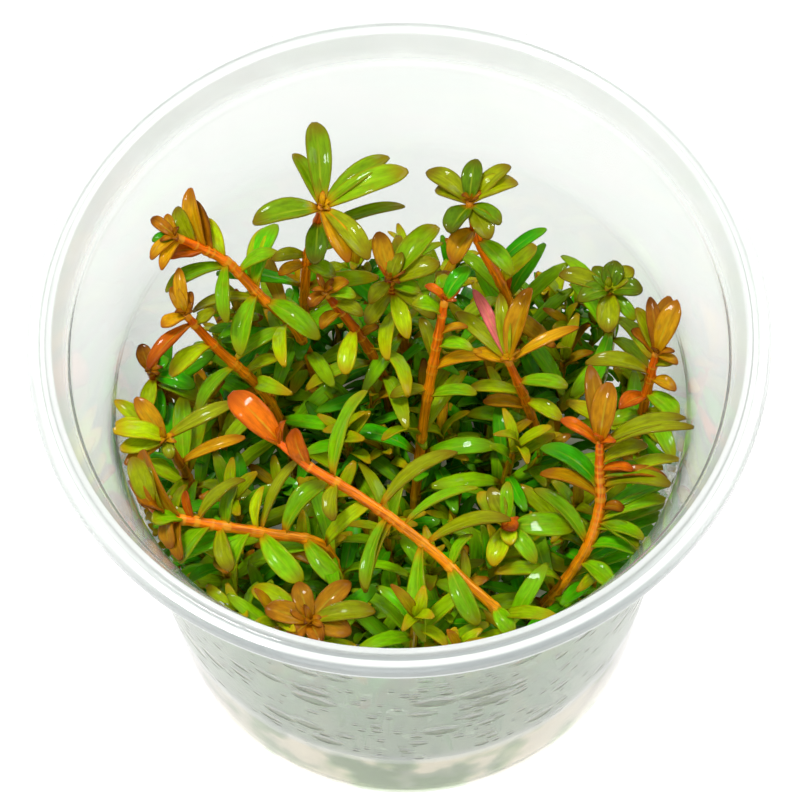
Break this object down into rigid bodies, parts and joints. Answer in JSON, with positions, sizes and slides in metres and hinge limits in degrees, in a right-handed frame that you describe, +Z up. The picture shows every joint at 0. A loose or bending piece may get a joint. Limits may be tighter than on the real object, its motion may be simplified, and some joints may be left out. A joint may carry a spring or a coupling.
{
  "type": "potted aquarium plant in a tissue-culture cup",
  "caption": "Open clear plastic cup of orange-tipped aquarium stem plant, its leafy shoots rooted in a layer of pale gel",
  "frame": {"origin": "middle of the cup's underside, on the surface that it stands on", "axes": "+Z up along the cup's axis; the front of the cup, where the camera stands, faces -Y; +X is to the right"},
  "size_m": [0.1, 0.1, 0.086],
  "materials": {
    "cup_plastic": "gloss",
    "agar_gel": "gloss",
    "orange_shoot": "satin",
    "olive_shoot": "satin",
    "green_shoot": "satin"
  },
  "bodies": {
    "root": {"cup": "cup_plastic", "agar_gel": "agar_gel", "stem_long_orange": "orange_shoot", "stem_low_orange": "orange_shoot", "stem_right_curve": "orange_shoot", "stem_centre": "orange_shoot", "stem_upper_left": "orange_shoot", "stem_left_up": "orange_shoot", "stem_tall_left": "orange_shoot", "stem_tall_right": "orange_shoot", "stem_right_back": "orange_shoot", "stem_far_right": "orange_shoot", "stem_dark_back": "olive_shoot", "stem_front_star": "olive_shoot", "stem_left_fan": "olive_shoot", "stem_mid_brown": "olive_shoot", "stem_left_back": "olive_shoot", "stem_back_right_green": "green_shoot", "stem_small_bud": "green_shoot", "stem_green_01": "green_shoot", "stem_green_02": "green_shoot", "stem_green_03": "green_shoot", "stem_green_04": "green_shoot", "stem_green_05": "green_shoot", "stem_green_06": "green_shoot", "stem_green_07": "green_shoot", "stem_green_08": "green_shoot", "stem_green_09": "green_shoot", "stem_green_10": "green_shoot", "stem_green_11": "green_shoot", "stem_green_12": "green_shoot", "stem_green_13": "green_shoot", "stem_green_14": "green_shoot", "stem_green_15": "green_shoot", "stem_green_16": "green_shoot", "stem_green_17": "green_shoot", "stem_green_18": "green_shoot", "stem_green_19": "green_shoot", "stem_green_20": "green_shoot", "stem_green_21": "green_shoot", "stem_green_22": "green_shoot", "stem_green_23": "green_shoot", "stem_green_24": "green_shoot"}
  },
  "joints": []
}
